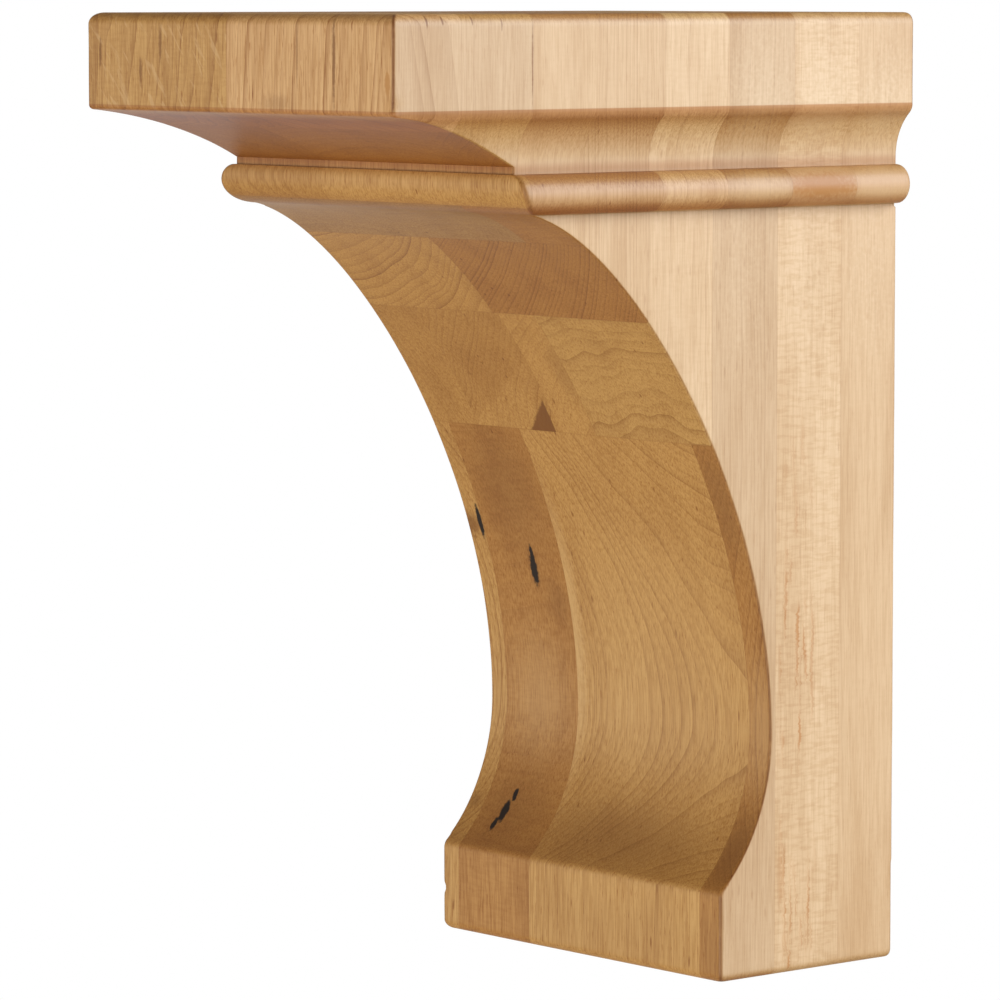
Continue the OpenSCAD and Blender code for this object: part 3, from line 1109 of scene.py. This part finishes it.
# %% [markdown]
# ## Floor, light and camera
#
# A corbel hangs on a wall or under a shelf, so the floor lies well below it. Floor and room look
# pure white, as a product backdrop does, but they give only a dim warm light of their own. That
# keeps the contrast between the pale side and the brown hollow: if the backdrop lit the corbel as
# brightly as it looks, every face would come out equally pale.

# %% A plain pale floor
def white_to_the_eye(name, kind, level, warmth):
    """A backdrop that looks pure white but lights the corbel only as strongly as its level."""
    made = kind.new(name)
    made.use_nodes = True
    made.node_tree.nodes.clear()
    t = Tree(made.node_tree)
    seen = t.node("ShaderNodeLightPath").out("Is Camera Ray")
    white, colour = (1.0, 1.0, 1.0, 1.0), (*[level * part for part in warmth], 1.0)
    if kind == bpy.data.worlds:
        given, plain = [t.node("ShaderNodeBackground", None, [c, 1.0]) for c in (colour, white)]
        end = "ShaderNodeOutputWorld"
    else:
        given = t.node("ShaderNodeBsdfDiffuse", None, [colour])
        plain = t.node("ShaderNodeEmission", None, [white, 1.0])
        end = "ShaderNodeOutputMaterial"
    t.node(end, None, [t.node("ShaderNodeMixShader", None, [seen, given, plain])])
    return made


floor_z, edge = -1.2, 40.0
floor_mesh = bpy.data.meshes.new("floor")
floor_mesh.from_pydata([(-edge, -edge, floor_z), (edge, -edge, floor_z), (edge, edge, floor_z),
                        (-edge, edge, floor_z)], [], [(0, 1, 2, 3)])
floor = bpy.data.objects.new("floor", floor_mesh)
bpy.context.scene.collection.objects.link(floor)
floor_level, floor_warmth = 0.8, (1.0, 0.95, 0.87)
floor_mesh.materials.append(
    white_to_the_eye("pale_floor", bpy.data.materials, floor_level, floor_warmth))
print("floor at", floor_z, "m")

# %% [markdown]
# ## Four soft boxes
#
# The key stands close on the right, above and a little behind, so it rakes down the right side and
# fades towards the foot. A low warm box in front reaches up under the cap and into the sweep. Two
# weak ones on the left keep the far arrises from going black.

# %% Soft studio light
room_level, room_warmth = 0.34, (1.0, 0.97, 0.90)
bpy.context.scene.world = white_to_the_eye("white_room", bpy.data.worlds, room_level, room_warmth)
bpy.context.scene.view_settings.view_transform = "Standard"
middle = as_vector((0.0, -0.09, 0.0))


def soft_box(name, place, size, power, colour=(1.0, 1.0, 1.0)):
    """A square area light that faces the middle of the corbel."""
    lamp = bpy.data.lights.new(name, "AREA")
    lamp.shape, lamp.size, lamp.energy, lamp.color = "SQUARE", size, power, colour
    made = bpy.data.objects.new(name, lamp)
    made.location = place
    aim = middle - made.location
    made.rotation_euler = aim.to_track_quat("-Z", "Y").to_euler()
    made.visible_camera = False
    bpy.context.scene.collection.objects.link(made)


soft_box("key", (1.20, 1.00, 0.76), 1.25, 44.0, (0.92, 1.0, 1.12))
soft_box("front", (0.75, -1.90, -0.45), 1.2, 26.6, (1.0, 0.985, 0.92))
soft_box("front_left", (-1.5, -1.45, -0.15), 1.0, 6.0, (1.0, 0.96, 0.88))
soft_box("left_fill", (-1.6, 1.1, -0.4), 1.6, 9.0)

# %% [markdown]
# ## The camera
#
# A long lens from about a metre and a half away looks at the near arris of the cap, a little from
# above, so the front and the right side both show and the uprights stay almost parallel.

# %% Camera
stands_at, tilt_down, swing = (1.11257, -1.02921, 0.13326), 5.299, 49.83
camera = bpy.data.objects.new("camera", bpy.data.cameras.new("camera"))
camera.data.sensor_width, camera.data.lens = 36.0, 198.61
camera.location = stands_at
camera.rotation_euler = (math.radians(90 - tilt_down), 0, math.radians(swing))
camera.data.clip_start, camera.data.clip_end = 0.05, 200.0
bpy.context.scene.collection.objects.link(camera)
bpy.context.scene.camera = camera
print("camera", round((camera.location - middle).length, 3), "m away")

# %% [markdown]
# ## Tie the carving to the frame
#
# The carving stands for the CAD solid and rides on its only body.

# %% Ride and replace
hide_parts("corbel")
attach(corbel, "root")
bpy.context.view_layer.update()
